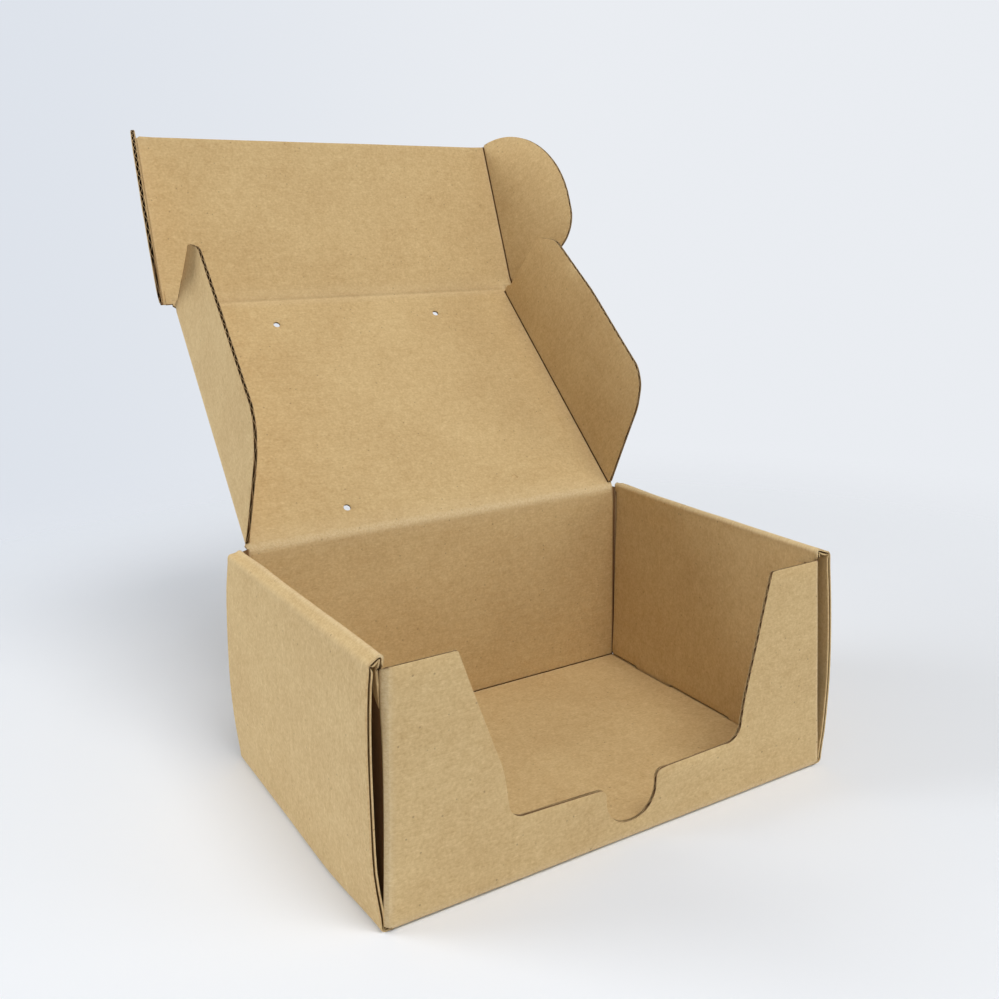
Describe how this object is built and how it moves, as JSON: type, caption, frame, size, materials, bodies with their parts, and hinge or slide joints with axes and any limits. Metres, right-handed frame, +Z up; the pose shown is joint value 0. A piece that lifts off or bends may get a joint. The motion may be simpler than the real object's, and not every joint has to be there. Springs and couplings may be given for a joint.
{
  "type": "corrugated mailer box",
  "caption": "Plain kraft corrugated mailer with a cut-out display front, thumb notch, rolled side walls and a hinged lid with tuck front, dust flaps and ears, standing open.",
  "frame": {"origin": "middle of the underside of the tray, on the surface the box stands on", "axes": "+Z up; -Y towards the front wall with the display opening, +Y towards the back wall that carries the lid; +X to the right seen from the front"},
  "size_m": [0.2916, 0.3433, 0.3509],
  "materials": {
    "kraft_board": "matt unbleached kraft liner with fine dark fibre specks"
  },
  "bodies": {
    "tray": {"tray": "kraft_board"},
    "lid": {"lid_panel": "kraft_board"},
    "tuck": {"tuck_panel": "kraft_board"},
    "lid_flap_left": {"lid_flap_left": "kraft_board"},
    "lid_flap_right": {"lid_flap_right": "kraft_board"},
    "ear_left": {"ear_left": "kraft_board"},
    "ear_right": {"ear_right": "kraft_board"}
  },
  "joints": [
    {"name": "lid_crease", "type": "hinge", "parent": "tray", "child": "lid", "pos_m": [0, 0.0872, 0.118], "axis": [-1, 0, 0], "range_deg": [-136, 44]},
    {"name": "tuck_crease", "type": "hinge", "parent": "lid", "child": "tuck", "pos_m": [0, 0.21474, 0.24116], "axis": [-1, 0, 0], "range_deg": [-64.5, 25.5]},
    {"name": "lid_flap_crease_left", "type": "hinge", "parent": "lid", "child": "lid_flap_left", "pos_m": [-0.11925, 0.0872, 0.118], "axis": [0, -0.7193, -0.6947], "range_deg": [0, 90]},
    {"name": "lid_flap_crease_right", "type": "hinge", "parent": "lid", "child": "lid_flap_right", "pos_m": [0.11925, 0.0872, 0.118], "axis": [0, 0.7193, 0.6947], "range_deg": [0, 90]},
    {"name": "ear_crease_left", "type": "hinge", "parent": "tuck", "child": "ear_left", "pos_m": [-0.1278, 0.21474, 0.24116], "axis": [0, -0.3502, -0.9367], "range_deg": [-14, 76]},
    {"name": "ear_crease_right", "type": "hinge", "parent": "tuck", "child": "ear_right", "pos_m": [0.1278, 0.21474, 0.24116], "axis": [0, 0.3502, 0.9367], "range_deg": [-14, 76]}
  ]
}
